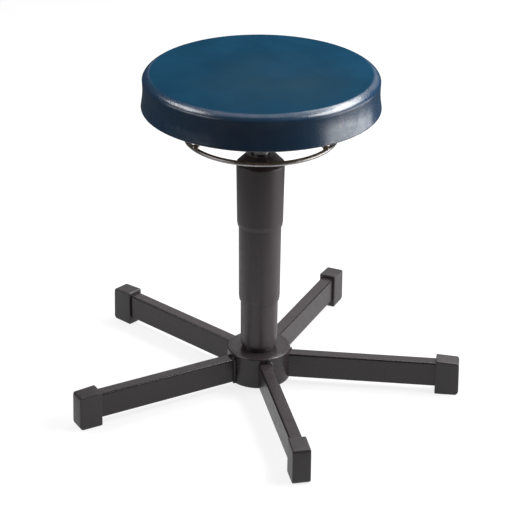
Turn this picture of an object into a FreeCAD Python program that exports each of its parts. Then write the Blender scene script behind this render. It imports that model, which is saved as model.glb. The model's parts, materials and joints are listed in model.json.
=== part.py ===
"""Height-adjustable round work stool on a five-legged base.

Millimetres, +Z up. The origin is on the floor, on the axis of the column.
The stool stands as pictured: the gas lift is part of the way up.
"""
import FreeCAD, Part

import math
import os

Vector = FreeCAD.Vector
UP = Vector(0, 0, 1)
AXIS_FOOT = Vector(0, 0, 0)
cut_margin = 1.0
edge_break = 1.0
same_place = 0.01

# Base: drum-shaped hub with level rectangular legs
leg_count = 5
first_leg_angle = -6.3
base_radius = 313.0
leg_height = 40.0
leg_width = 20.0
leg_wall = 2.0
leg_corner = 2.5
leg_underside = 11.8
hub_radius = 49.0
hub_wall = 5.0
hub_height = 50.6
hub_underside = 9.4
hub_rim_chamfer = 1.5
hub_plate = 4.0
bush_wall = 6.0
weld_size = 3.5
weld_bite = 0.5
weld_toe = 1.5
weld_feather = 0.3

# Foot caps: moulded blocks pushed over the legs' ends
cap_length = 37.0
cap_width = 27.5
cap_height = 57.4
cap_fall = 2.4
cap_toe_bevel = 4.0
cap_edge = 1.6
cap_brow = 2.4
cap_lean = 1.4
cap_end_wall = 4.0
cap_fit = 0.15

# Gas lift: stand tube, guide, rod and cylinder
stroke = 130.0
raised = 95.0
stand_radius = 25.0
stand_wall = 2.0
stand_floor = 3.0
taper_slope = 0.025
plate_clearance = 0.3
stand_tail = 2.6
guide_length = 80.0
guide_land = 27.0
guide_relief = 1.5
guide_flange = 3.0
running_fit = 0.05
cylinder_radius = 14.0
cylinder_wall = 1.5
cylinder_crimp = 2.0
crimp_clearance = 2.0
cylinder_roll = 1.0
crown_step = 2.0
crown_wall = 3.0
crown_stand = 1.5
crown_lip = 2.0
rod_radius = 5.0
rod_neck_step = 1.0
rod_tip_chamfer = 0.5
spigot_radius = 4.0
spigot_hole = 6.0
rod_guide_height = 12.0
end_gap = 3.0
piston_height = 10.0
piston_fit = 0.08
piston_chamfer = 0.6
seal_height = 3.0
seal_depth = 2.0
valve_height = 26.0

# Thrust bearing under the rod, and what holds the rod down
race_thickness = 2.0
race_edge_gap = 2.975
race_clearance = 0.3
ball_diameter = 4.0
ball_count = 8
ball_circle = 13.0
ball_gap = 0.05
cage_thickness = 1.6
cage_ball_fit = 0.12
washer_thickness = 2.0
washer_radius = 12.0
buffer_height = 15.0
buffer_radius = 11.0
buffer_taper = 1.5
buffer_fit = 0.15
keeper_gap = 0.4
clip_thickness = 1.2
clip_radius = 7.0
clip_groove = 0.8
clip_opening = 70.0
spigot_tail = 2.0

# Column cover: three telescoping moulded sleeves
sleeve_clearance = 1.8
sleeve_step = 3.3
sleeve_wall = 1.5
sleeve_draft = 0.006
upper_sleeve_draft = 0.0148
sleeve_slide = 0.35
sleeve_overlap = 25.0
sleeve_head_room = 11.0
sleeve_foot_room = 35.0
sleeve_lip = 3.0
sleeve_nose = 7.0
sleeve_nose_taper = 0.8
sleeve_flange = 2.0
cover_top_radius = 21.4
cover_head_gap = 17.4
cover_neck_length = 10.0
cover_neck_wall = 2.0
cylinder_bare = 12.0

# Seat mounting: taper socket, pressed lever housing, seat plate, screws into the seat board
socket_radius = 19.0
socket_height = 35.0
socket_stand = 2.5
socket_chamfer = 1.5
housing_sheet = 2.5
housing_radius = 58.0
housing_depth = 30.5
housing_bend = 4.0
plate_sheet = 2.5
plate_radius = 95.0
plate_opening_radius = 40.0
screw_circle = 155.0
screw_count = 4
screw_first_angle = 45.0
screw_radius = 3.0
screw_hole = 3.4
screw_reach = 9.0
screw_head_radius = 5.5
screw_head_height = 4.0
screw_head_chamfer = 0.8
screw_socket_radius = 2.0
screw_socket_depth = 2.0
screw_washer_radius = 9.0
screw_washer_thickness = 1.6
tee_nut_barrel = 4.4
tee_nut_flange = 9.5
tee_nut_plate = 1.4
tee_nut_rise = 0.5
thread_fit = 0.1

# Seat: moulded pad with a board in its underside
seat_diameter = 350.0
pad_thickness = 50.0
pad_crown = 2.5
pad_flare = 2.0
pad_draw = 0.8
pad_edge_radius = 11.5
pad_hem = 2.0
board_diameter = 300.0
board_thickness = 12.0

# Release hoop: ring, three spokes and the boss over the valve button
hoop_radius = 112.0
hoop_wire = 3.5
hoop_drop = 28.75
spoke_count = 3
spoke_first_angle = 90.0
spoke_wire = 3.0
spoke_bend = 12.0
spoke_knee = 10.0
spoke_seat = 7.0
boss_radius = 16.0
boss_height = 9.0
boss_chamfer = 1.0
button_radius = 4.0
button_stand = 5.0
button_stem = 20.0
button_travel = 3.0
button_gap = 0.25
button_dome = 1.2
button_spare = 1.0
slot_width = 10.0
slot_head_room = 0.4
slot_corner = 2.0
slot_spare = 1.4

# Heights of the base and of the bearing in the stand tube
hub_top = hub_underside + hub_height
leg_top = leg_underside + leg_height
plate_low = hub_top - hub_plate
stand_low = hub_underside + stand_tail
race_low = stand_low + stand_floor
race_top = race_low + race_thickness
race_radius = stand_radius - stand_wall - taper_slope * (plate_low - race_low) - race_edge_gap
upper_race_low = race_top + ball_diameter + 2 * ball_gap
upper_race_top = upper_race_low + race_thickness
shoulder = upper_race_top + washer_thickness
buffer_top = shoulder + buffer_height

# Heights of the gas lift, from the seat's lowest position upwards
cylinder_lowest = buffer_top + end_gap
piston_low = cylinder_lowest + stroke + cylinder_crimp + rod_guide_height + end_gap
guide_low = piston_low - end_gap
stand_top = guide_low + guide_length
stroke_left = stroke - raised
cylinder_low = cylinder_lowest + raised
bore_radius = cylinder_radius - cylinder_wall
stand_bore = stand_radius - stand_wall
piston_top = piston_low + piston_height

# Heights of the column cover and of the cylinder's top
cover_ceiling = stand_top + guide_flange + cover_head_gap + raised
cover_top = cover_ceiling + sleeve_wall
socket_low = cover_top + cylinder_bare
socket_top = socket_low + socket_height
cylinder_top = socket_top + crown_stand
sleeve_radius = stand_radius + sleeve_clearance + sleeve_wall
half_overlap = sleeve_overlap + stroke_left / 2
upper_sleeve_length = sleeve_overlap + stroke / 2 + sleeve_head_room
middle_low = hub_top + sleeve_foot_room + raised / 2
lower_sleeve_top = middle_low + half_overlap

# Heights of the seat mounting and of the seat
housing_low = socket_top - housing_sheet - socket_stand
housing_floor = housing_low + housing_sheet
plate_underside = housing_low + housing_depth
seat_low = plate_underside + plate_sheet
board_top = seat_low + board_thickness
rim_top = seat_low + pad_thickness
seat_radius = seat_diameter / 2
board_radius = board_diameter / 2

# The hoop's tilt: the spoke bears on the top of its slot and the boss goes down
boss_low = cylinder_top + button_stand + button_gap
spoke_level = boss_low + boss_height / 2
fulcrum_radius = housing_radius - housing_sheet / 2
fulcrum_height = spoke_level + spoke_wire + slot_head_room
hoop_tilt = math.degrees(math.asin(button_travel / fulcrum_radius))
hoop_level = spoke_level - hoop_drop
far_side_reach = fulcrum_radius * (1 + math.cos(math.radians(180.0 / spoke_count)))
far_side_drop = far_side_reach * math.sin(math.radians(hoop_tilt))


def outline(corners):
    """Closed wire in the XZ plane. A corner is (x, z) or (x, z, fillet radius)."""
    places = [Vector(corner[0], 0, corner[1]) for corner in corners]
    joints = []
    for index, corner in enumerate(corners):
        here = places[index]
        radius = corner[2] if len(corner) > 2 else 0.0
        if radius <= 0:
            joints.append((here, None, here))
            continue
        back = (places[index - 1] - here).normalize()
        ahead = (places[(index + 1) % len(places)] - here).normalize()
        half_angle = back.getAngle(ahead) / 2
        bisector = (back + ahead).normalize()
        reach = radius / math.tan(half_angle)
        crest = here + bisector * (radius / math.sin(half_angle) - radius)
        joints.append((here + back * reach, crest, here + ahead * reach))
    edges = []
    for index, (start, crest, end) in enumerate(joints):
        if crest is not None:
            edges.append(Part.Arc(start, crest, end).toShape())
        following = joints[(index + 1) % len(joints)][0]
        if end.distanceToPoint(following) > 1e-6:
            edges.append(Part.LineSegment(end, following).toShape())
    return Part.Wire(edges)


def turned(corners):
    """Solid of revolution about the column's axis from an outline of (radius, height)."""
    return Part.Face(outline(corners)).revolve(AXIS_FOOT, UP, 360)


def collar(outer, inner, low, high):
    """Plain ring between two heights."""
    return turned([(inner, low), (outer, low), (outer, high), (inner, high)])


def disc(radius, low, high):
    """Plain cylinder between two heights."""
    return Part.makeCylinder(radius, high - low, Vector(0, 0, low))


def prism(x_low, x_high, width, low, high, corner):
    """Rounded rectangular bar along X, centred on the X axis."""
    half = width / 2
    section = outline([
        (-half, low, corner),
        (half, low, corner),
        (half, high, corner),
        (-half, high, corner),
    ])
    section.rotate(AXIS_FOOT, UP, 90)
    section.translate(Vector(x_low, 0, 0))
    return Part.Face(section).extrude(Vector(x_high - x_low, 0, 0))


def around(shape, angle):
    """Copy of a shape turned about the column's axis."""
    copy = shape.copy()
    copy.rotate(AXIS_FOOT, UP, angle)
    return copy


def pattern(shape, count, first_angle):
    """Copies of a shape spread evenly about the column's axis."""
    return [around(shape, first_angle + index * 360.0 / count) for index in range(count)]


def beside_axis(shape, distance):
    """Copy of a shape moved along X, away from the column's axis."""
    copy = shape.copy()
    copy.translate(Vector(distance, 0, 0))
    return copy


def drilled(shape, tool, count, first_angle):
    """Shape with a tool cut out of it at each place of a pattern."""
    for hole in pattern(tool, count, first_angle):
        shape = shape.cut(hole)
    return shape


def mitre(thickness):
    """How far a corner of 45 degrees moves along its sides through a wall's thickness."""
    return thickness * math.tan(math.radians(22.5))


def taper_radius(height):
    """Radius of the stand tube's outside, which narrows below the hub's top plate."""
    return stand_radius - taper_slope * max(0.0, plate_low - height)


def hub_pieces():
    """Drum, its two closing plates and the taper bush between them."""
    inner = hub_radius - hub_wall
    chamfer = hub_rim_chamfer
    bush_radius = stand_radius + bush_wall
    drum = turned([
        (inner, hub_underside),
        (hub_radius - chamfer, hub_underside),
        (hub_radius, hub_underside + chamfer),
        (hub_radius, hub_top - chamfer),
        (hub_radius - chamfer, hub_top),
        (inner, hub_top),
    ])
    bush = turned([
        (taper_radius(hub_underside), hub_underside),
        (bush_radius, hub_underside),
        (bush_radius, plate_low),
        (taper_radius(plate_low), plate_low),
    ])
    return {
        "hub_tube": drum,
        "hub_top_ring": collar(inner, stand_radius + plate_clearance, plate_low, hub_top),
        "hub_bottom_ring": collar(inner, bush_radius, hub_underside, hub_underside + hub_plate),
        "taper_bush": bush,
    }


def leg_pieces():
    """Legs coped to the drum, each with a fillet weld along its sides and top."""
    leg_end = base_radius - cap_end_wall - 2 * cap_fit
    drum = disc(hub_radius, hub_underside - cut_margin, hub_top + cut_margin)
    bar = prism(0, leg_end, leg_width, leg_underside, leg_top, leg_corner)
    bore = prism(
        0,
        leg_end,
        leg_width - 2 * leg_wall,
        leg_underside + leg_wall,
        leg_top - leg_wall,
        leg_corner - leg_wall,
    )
    leg = bar.cut(bore).cut(drum)
    half = leg_width / 2
    edge = math.sqrt(hub_radius ** 2 - (half + weld_size) ** 2)

    def weld_section(spread, x):
        section = outline([
            (-half - spread, leg_underside),
            (half + spread, leg_underside),
            (half + spread, leg_top + spread, leg_corner + spread),
            (-half - spread, leg_top + spread, leg_corner + spread),
        ])
        section.rotate(AXIS_FOOT, UP, 90)
        section.translate(Vector(x, 0, 0))
        return section

    root = weld_section(weld_size, edge - weld_bite)
    toe = weld_section(weld_feather, edge + weld_size + weld_toe)
    filled = prism(0, leg_end, leg_width, leg_underside - leg_height, leg_top, leg_corner)
    weld = Part.makeLoft([root, toe], True, True).cut(filled).cut(drum)
    legs = pattern(leg, leg_count, first_leg_angle)
    pieces = {"leg_%d" % (n + 1): solid for n, solid in enumerate(legs)}
    pieces["leg_welds"] = Part.makeCompound(pattern(weld, leg_count, first_leg_angle))
    return pieces


def cap_pieces():
    """Blocks that close the legs' ends and stand on the floor."""
    inner_end = base_radius - cap_length
    half = cap_width / 2
    side = outline([
        (inner_end, 0.0),
        (base_radius - cap_toe_bevel, 0.0),
        (base_radius, cap_toe_bevel),
        (base_radius - cap_lean, cap_height - cap_fall - cap_brow),
        (base_radius - cap_lean - cap_brow, cap_height - cap_fall),
        (inner_end, cap_height),
    ])
    side.translate(Vector(0, -half, 0))
    block = Part.Face(side).extrude(Vector(0, cap_width, 0))
    edges = [edge for edge in block.Edges if abs(abs(edge.CenterOfMass.y) - half) < same_place]
    block = block.makeFillet(cap_edge, edges)
    socket = prism(
        inner_end - cap_length,
        base_radius - cap_end_wall,
        leg_width + 2 * cap_fit,
        leg_underside - cap_fit,
        leg_top + cap_fit,
        leg_corner + cap_fit,
    )
    caps = pattern(block.cut(socket), leg_count, first_leg_angle)
    return {"foot_cap_%d" % (n + 1): cap for n, cap in enumerate(caps)}


def stand_pieces():
    """Stand tube with its tapered foot, the guide bush in its mouth and the lower race."""
    floor_top = stand_low + stand_floor
    tube = turned([
        (spigot_hole, stand_low),
        (taper_radius(stand_low) - edge_break, stand_low),
        (taper_radius(stand_low + edge_break), stand_low + edge_break),
        (taper_radius(plate_low), plate_low),
        (stand_radius, stand_top),
        (stand_bore, stand_top),
        (taper_radius(plate_low) - stand_wall, plate_low),
        (taper_radius(floor_top) - stand_wall, floor_top),
        (spigot_hole, floor_top),
    ])
    bore = cylinder_radius + running_fit
    relief = bore + guide_relief
    guide_top = stand_top + guide_flange
    guide = turned([
        (bore + edge_break, guide_low),
        (stand_bore, guide_low),
        (stand_bore, stand_top),
        (stand_radius, stand_top),
        (stand_radius, guide_top - edge_break),
        (stand_radius - edge_break, guide_top),
        (bore + edge_break, guide_top),
        (bore, guide_top - edge_break),
        (bore, stand_top - guide_land),
        (relief, stand_top - guide_land - guide_relief),
        (relief, guide_low + guide_land + guide_relief),
        (bore, guide_low + guide_land),
        (bore, guide_low + edge_break),
    ])
    return {
        "stand_tube": tube,
        "guide_bush": guide,
        "lower_race": collar(race_radius, spigot_hole, race_low, race_top),
    }


def bearing_pieces():
    """Flat ball cage and its balls, between the two races."""
    middle = race_top + ball_gap + ball_diameter / 2
    cage = collar(
        race_radius - race_clearance,
        spigot_radius + 2 * race_clearance,
        middle - cage_thickness / 2,
        middle + cage_thickness / 2,
    )
    pocket = disc(ball_diameter / 2 + cage_ball_fit, middle - cage_thickness, middle + cage_thickness)
    ball = Part.makeSphere(ball_diameter / 2, Vector(ball_circle, 0, middle))
    return {
        "ball_cage": drilled(cage, beside_axis(pocket, ball_circle), ball_count, 0),
        "bearing_balls": Part.makeCompound(pattern(ball, ball_count, 0)),
    }


def rod_pieces():
    """Piston rod with its shoulder, piston and seal, and the washers and clip at its foot."""
    keeper_top = stand_low - keeper_gap
    keeper_low = keeper_top - washer_thickness
    clip_low = keeper_low - clip_thickness
    groove = spigot_radius - clip_groove
    neck = rod_radius - rod_neck_step
    rod = turned([
        (0, clip_low - spigot_tail),
        (spigot_radius - rod_tip_chamfer, clip_low - spigot_tail),
        (spigot_radius, clip_low - spigot_tail + rod_tip_chamfer),
        (spigot_radius, clip_low),
        (groove, clip_low),
        (groove, keeper_low),
        (spigot_radius, keeper_low),
        (spigot_radius, shoulder),
        (rod_radius, shoulder),
        (rod_radius, piston_low),
        (neck, piston_low),
        (neck, piston_top),
        (0, piston_top),
    ])
    piston_radius = bore_radius - piston_fit
    seal_low = piston_low + (piston_height - seal_height) / 2
    seal_outer = piston_radius + piston_fit / 2
    seal_inner = piston_radius - seal_depth
    piston = turned([
        (neck, piston_low),
        (piston_radius - piston_chamfer, piston_low),
        (piston_radius, piston_low + piston_chamfer),
        (piston_radius, seal_low),
        (seal_inner, seal_low),
        (seal_inner, seal_low + seal_height),
        (piston_radius, seal_low + seal_height),
        (piston_radius, piston_top - piston_chamfer),
        (piston_radius - piston_chamfer, piston_top),
        (neck, piston_top),
    ])
    clip = collar(clip_radius, groove, clip_low, keeper_low)
    gap = Part.makeCylinder(
        clip_radius + cut_margin,
        clip_thickness + 2 * cut_margin,
        Vector(0, 0, clip_low - cut_margin),
        UP,
        clip_opening,
    )
    buffer_bore = rod_radius + buffer_fit
    buffer_crown = buffer_radius - buffer_taper
    return {
        "piston_rod": rod,
        "piston": piston,
        "piston_seal": collar(seal_outer, seal_inner, seal_low, seal_low + seal_height),
        "upper_race": collar(race_radius, spigot_radius, upper_race_low, upper_race_top),
        "shoulder_washer": collar(washer_radius, spigot_radius, upper_race_top, shoulder),
        "rubber_buffer": turned([
            (buffer_bore, shoulder),
            (buffer_radius, shoulder),
            (buffer_crown, buffer_top - edge_break),
            (buffer_crown - edge_break, buffer_top),
            (buffer_bore, buffer_top),
        ]),
        "keeper_washer": collar(washer_radius, spigot_radius, keeper_low, keeper_top),
        "retaining_clip": clip.cut(gap),
    }


def cylinder_pieces():
    """Gas cylinder with its rolled foot and tapered crown, the rod guide and the valve body."""
    top_radius = cylinder_radius - taper_slope * (cylinder_top - edge_break - socket_low)
    crown_bore = top_radius - crown_wall
    valve_top = cylinder_top - crown_lip
    valve_low = valve_top - valve_height
    guide_base = cylinder_low + cylinder_crimp
    guide_top = guide_base + rod_guide_height
    lip = rod_radius + crimp_clearance
    cylinder = turned([
        (lip, cylinder_low),
        (cylinder_radius - cylinder_roll, cylinder_low),
        (cylinder_radius, cylinder_low + cylinder_roll),
        (cylinder_radius, socket_low),
        (top_radius, cylinder_top - edge_break),
        (top_radius - edge_break, cylinder_top),
        (crown_bore - crown_lip, cylinder_top),
        (crown_bore - crown_lip, valve_top),
        (crown_bore, valve_top),
        (crown_bore, valve_low),
        (bore_radius, valve_low - crown_step),
        (bore_radius, guide_base),
        (lip, guide_base),
    ])
    stem_bore = button_radius + running_fit
    stem_low = cylinder_top + button_stand - button_stem - button_travel - button_spare
    valve = turned([
        (0, valve_low),
        (crown_bore, valve_low),
        (crown_bore, valve_top),
        (stem_bore, valve_top),
        (stem_bore, stem_low),
        (0, stem_low),
    ])
    return {
        "gas_cylinder": cylinder,
        "rod_guide": collar(bore_radius, rod_radius + running_fit, guide_base, guide_top),
        "valve_body": valve,
    }


def sleeve_outside(step, draft, low, height):
    """Outer radius of a sleeve at a height: it widens upwards with its moulding draft."""
    return sleeve_radius + step * sleeve_step + draft * (height - low)


def sleeve_pieces():
    """Column cover: each outer stage has a lip at its foot that rides on the stage inside it."""
    upper_low = cover_shoulder() - upper_sleeve_length
    middle_top = upper_low + half_overlap
    thin = sleeve_wall

    def lower(height):
        return sleeve_outside(0, sleeve_draft, hub_top, height)

    def middle(height):
        return sleeve_outside(1, sleeve_draft, middle_low, height)

    def upper(height):
        return sleeve_outside(2, upper_sleeve_draft, upper_low, height)

    lower_flange = middle(lower_sleeve_top - stroke_left / 2) - thin - sleeve_slide
    lower_sleeve = turned([
        (lower(hub_top) - thin, hub_top),
        (lower(hub_top), hub_top),
        (lower(lower_sleeve_top - sleeve_flange), lower_sleeve_top - sleeve_flange),
        (lower_flange, lower_sleeve_top - sleeve_flange),
        (lower_flange, lower_sleeve_top),
        (lower(lower_sleeve_top) - thin, lower_sleeve_top),
    ])
    middle_flange = upper(middle_top - stroke_left / 2) - thin - sleeve_slide
    middle_lip = lower(lower_sleeve_top) + sleeve_slide
    middle_sleeve = turned([
        (middle_lip, middle_low),
        (middle(middle_low) - sleeve_nose_taper, middle_low),
        (middle(middle_low + sleeve_nose), middle_low + sleeve_nose),
        (middle(middle_top - sleeve_flange), middle_top - sleeve_flange),
        (middle_flange, middle_top - sleeve_flange),
        (middle_flange, middle_top),
        (middle(middle_top) - thin, middle_top),
        (middle(middle_low + sleeve_nose) - thin, middle_low + sleeve_nose),
        (middle_lip, middle_low + sleeve_lip),
    ])
    upper_lip = middle(middle_top) + sleeve_slide
    shoulder_radius = upper(cover_shoulder())
    neck = cylinder_radius + cover_neck_wall
    upper_sleeve = turned([
        (upper_lip, upper_low),
        (upper(upper_low) - sleeve_nose_taper, upper_low),
        (upper(upper_low + sleeve_nose), upper_low + sleeve_nose),
        (shoulder_radius, cover_shoulder()),
        (cover_top_radius, cover_top),
        (cylinder_radius, cover_top),
        (cylinder_radius, cover_top - cover_neck_length),
        (neck, cover_top - cover_neck_length),
        (neck, cover_ceiling),
        (cover_top_radius - mitre(thin), cover_ceiling),
        (shoulder_radius - thin, cover_shoulder() - mitre(thin)),
        (upper(upper_low + sleeve_nose) - thin, upper_low + sleeve_nose),
        (upper_lip, upper_low + sleeve_lip),
    ])
    return {
        "lower_sleeve": lower_sleeve,
        "middle_sleeve": middle_sleeve,
        "upper_sleeve": upper_sleeve,
    }


def cover_shoulder():
    """Height where the upper sleeve's wall turns into its 45 degree cone."""
    straight = sleeve_radius + 2 * sleeve_step + upper_sleeve_draft * upper_sleeve_length
    return cover_top - (straight - cover_top_radius)


def mounting_pieces():
    """Taper socket, housing with its spoke slots, seat plate, and the screws that hold the seat."""
    narrow = cylinder_radius - taper_slope * socket_height
    socket = turned([
        (cylinder_radius, socket_low),
        (socket_radius - socket_chamfer, socket_low),
        (socket_radius, socket_low + socket_chamfer),
        (socket_radius, socket_top - socket_chamfer),
        (socket_radius - socket_chamfer, socket_top),
        (narrow, socket_top),
    ])
    inner = housing_radius - housing_sheet
    bend = housing_bend + mitre(housing_sheet)
    housing = turned([
        (socket_radius, housing_low),
        (housing_radius - housing_bend, housing_low),
        (housing_radius, housing_low + housing_bend),
        (housing_radius, plate_underside),
        (inner, plate_underside),
        (inner, housing_low + bend),
        (housing_radius - bend, housing_floor),
        (socket_radius, housing_floor),
    ])
    slot = prism(
        inner - housing_sheet,
        housing_radius + housing_sheet,
        slot_width,
        spoke_level - spoke_wire - far_side_drop - slot_spare,
        fulcrum_height,
        slot_corner,
    )
    plate = collar(plate_radius, plate_opening_radius, plate_underside, seat_low)
    screw_way = beside_axis(
        disc(screw_hole, plate_underside - cut_margin, seat_low + cut_margin),
        screw_circle / 2,
    )
    return {
        "taper_socket": socket,
        "lever_housing": drilled(housing, slot, spoke_count, spoke_first_angle),
        "seat_plate": drilled(plate, screw_way, screw_count, screw_first_angle),
        **fastener_pieces(),
    }


def fastener_pieces():
    """Screws with hexagon sockets, their washers and the tee nuts that they turn into."""
    washer_low = plate_underside - screw_washer_thickness
    head_low = washer_low - screw_head_height
    screw = turned([
        (0, head_low + screw_socket_depth),
        (screw_socket_radius, head_low + screw_socket_depth),
        (screw_socket_radius, head_low),
        (screw_head_radius - screw_head_chamfer, head_low),
        (screw_head_radius, head_low + screw_head_chamfer),
        (screw_head_radius, washer_low),
        (screw_radius, washer_low),
        (screw_radius, seat_low + screw_reach),
        (0, seat_low + screw_reach),
    ])
    washer = collar(screw_washer_radius, screw_hole, washer_low, plate_underside)
    bore = screw_radius + thread_fit
    nut = turned([
        (bore, seat_low + tee_nut_rise),
        (tee_nut_barrel, seat_low + tee_nut_rise),
        (tee_nut_barrel, board_top - tee_nut_plate),
        (tee_nut_flange, board_top - tee_nut_plate),
        (tee_nut_flange, board_top),
        (bore, board_top),
    ])
    groups = {}
    for name, shape in (("seat_screws", screw), ("screw_washers", washer), ("tee_nuts", nut)):
        placed = beside_axis(shape, screw_circle / 2)
        groups[name] = Part.makeCompound(pattern(placed, screw_count, screw_first_angle))
    return groups


def seat_pieces():
    """Moulded pad with a crowned top and drawn-in side, and the board in its underside."""
    hem = seat_radius + pad_flare
    rise_radius = seat_radius - pad_edge_radius
    crown_radius = (rise_radius ** 2 + pad_crown ** 2) / (2 * pad_crown)
    half_turn = math.asin(rise_radius / crown_radius) / 2
    crown_mid = Vector(
        crown_radius * math.sin(half_turn),
        0,
        rim_top + pad_crown - crown_radius * (1 - math.cos(half_turn)),
    )
    rim = Vector(rise_radius, 0, rim_top)
    edge_centre = rim - Vector(0, 0, pad_edge_radius)
    edge_mid = edge_centre + Vector(1, 0, 1).normalize() * pad_edge_radius
    edge_end = edge_centre + Vector(pad_edge_radius, 0, 0)
    hem_start = Vector(hem, 0, seat_low + pad_hem)
    waist = (edge_end + hem_start) / 2 - Vector(pad_draw, 0, 0)
    top = Vector(0, 0, rim_top + pad_crown)
    under = [
        hem_start,
        Vector(hem - pad_hem, 0, seat_low),
        Vector(board_radius, 0, seat_low),
        Vector(board_radius, 0, board_top),
        Vector(0, 0, board_top),
        top,
    ]
    edges = [
        Part.Arc(top, crown_mid, rim).toShape(),
        Part.Arc(rim, edge_mid, edge_end).toShape(),
        Part.Arc(edge_end, waist, hem_start).toShape(),
    ]
    edges += [Part.LineSegment(start, end).toShape() for start, end in zip(under, under[1:])]
    pad = Part.Face(Part.Wire(edges)).revolve(AXIS_FOOT, UP, 360)
    board = disc(board_radius, seat_low, board_top)
    barrel = disc(tee_nut_barrel, seat_low - cut_margin, board_top + cut_margin)
    recess = disc(tee_nut_flange, board_top - tee_nut_plate, board_top + cut_margin)
    nut_way = beside_axis(barrel.fuse(recess), screw_circle / 2)
    return {"seat_pad": pad, "seat_board": drilled(board, nut_way, screw_count, screw_first_angle)}


def hoop_pieces():
    """Hoop, cranked spokes that seat in the boss, the boss and the valve button under it."""
    hoop = Part.makeTorus(hoop_radius, hoop_wire, Vector(0, 0, hoop_level))
    root = boss_radius - spoke_seat
    knee = housing_radius + spoke_knee
    inner = Vector(root, 0, spoke_level)
    bend = Vector(knee, 0, spoke_level)
    outer = Vector(hoop_radius, 0, hoop_level)
    back = (inner - bend).normalize()
    ahead = (outer - bend).normalize()
    half_angle = back.getAngle(ahead) / 2
    bisector = (back + ahead).normalize()
    reach = spoke_bend / math.tan(half_angle)
    crest = bend + bisector * (spoke_bend / math.sin(half_angle) - spoke_bend)
    route = Part.Wire([
        Part.LineSegment(inner, bend + back * reach).toShape(),
        Part.Arc(bend + back * reach, crest, bend + ahead * reach).toShape(),
        Part.LineSegment(bend + ahead * reach, outer).toShape(),
    ])
    section = Part.Wire(Part.makeCircle(spoke_wire, inner, Vector(1, 0, 0)))
    spoke = route.makePipeShell([section], True, False).cut(hoop)
    boss = turned([
        (0, boss_low),
        (boss_radius - boss_chamfer, boss_low),
        (boss_radius, boss_low + boss_chamfer),
        (boss_radius, boss_low + boss_height - boss_chamfer),
        (boss_radius - boss_chamfer, boss_low + boss_height),
        (0, boss_low + boss_height),
    ])
    seat_hole = Part.makeCylinder(spoke_wire, boss_radius, inner, Vector(1, 0, 0))
    boss = drilled(boss, seat_hole, spoke_count, spoke_first_angle)
    button_top = cylinder_top + button_stand
    stem_low = button_top - button_stem
    dome_radius = (button_radius ** 2 + button_dome ** 2) / (2 * button_dome)
    half_turn = math.asin(button_radius / dome_radius) / 2
    dome_mid = Vector(
        dome_radius * math.sin(half_turn),
        0,
        button_top - dome_radius * (1 - math.cos(half_turn)),
    )
    corners = [
        Vector(button_radius, 0, button_top - button_dome),
        Vector(button_radius, 0, stem_low),
        Vector(0, 0, stem_low),
        Vector(0, 0, button_top),
    ]
    edges = [Part.LineSegment(start, end).toShape() for start, end in zip(corners, corners[1:])]
    edges.append(Part.Arc(corners[-1], dome_mid, corners[0]).toShape())
    button = Part.Face(Part.Wire(edges)).revolve(AXIS_FOOT, UP, 360)
    spokes = pattern(spoke, spoke_count, spoke_first_angle)
    pieces = {"hoop_spoke_%d" % (n + 1): solid for n, solid in enumerate(spokes)}
    return {"release_hoop": hoop, "press_boss": boss, "release_button": button, **pieces}


def main():
    """Build every piece, write one file for each and report the sizes that the record repeats."""
    pieces = {}
    for build in (
        hub_pieces,
        leg_pieces,
        cap_pieces,
        stand_pieces,
        bearing_pieces,
        rod_pieces,
        cylinder_pieces,
        sleeve_pieces,
        mounting_pieces,
        seat_pieces,
        hoop_pieces,
    ):
        pieces.update(build())
    os.makedirs("parts", exist_ok=True)
    for name, shape in pieces.items():
        if not shape.isValid() or any(solid.Volume <= 0 for solid in shape.Solids):
            print("not a sound solid:", name)
        shape.exportStep("parts/%s.step" % name)
    print("pieces:", len(pieces), "solids:", sum(len(shape.Solids) for shape in pieces.values()))
    print("seat height %.1f, stroke down %.1f, up %.1f" % (rim_top + pad_crown, raised, stroke_left))
    print("hoop level %.1f, tilt %.2f deg, fulcrum radius %.2f, height %.2f" % (
        hoop_level,
        hoop_tilt,
        fulcrum_radius,
        fulcrum_height,
    ))
    print("cover: shoulder %.1f, middle foot %.1f, upper foot %.1f, hub top %.1f" % (
        cover_shoulder(),
        middle_low,
        cover_shoulder() - upper_sleeve_length,
        hub_top,
    ))


main()
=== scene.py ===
"""Looks of a height-adjustable round work stool, dressed over its fixed frame of solid pieces.

Metres, +Z up. The origin is on the floor, on the column's axis, and the camera looks along +Y.
Every shape is a surface worked out as whole arrays: an outline turned about the column's axis,
a section carried along a path, or a grid of two parameters.
"""

import json
import logging
import math
from abc import ABC, abstractmethod
from dataclasses import dataclass
from enum import Enum
from functools import cached_property
from typing import Mapping, Sequence

import bmesh
import bpy
import numpy as np
from bpy.types import Material, Node, NodeSocket, Object, World
from mathutils import Matrix, Vector


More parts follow.
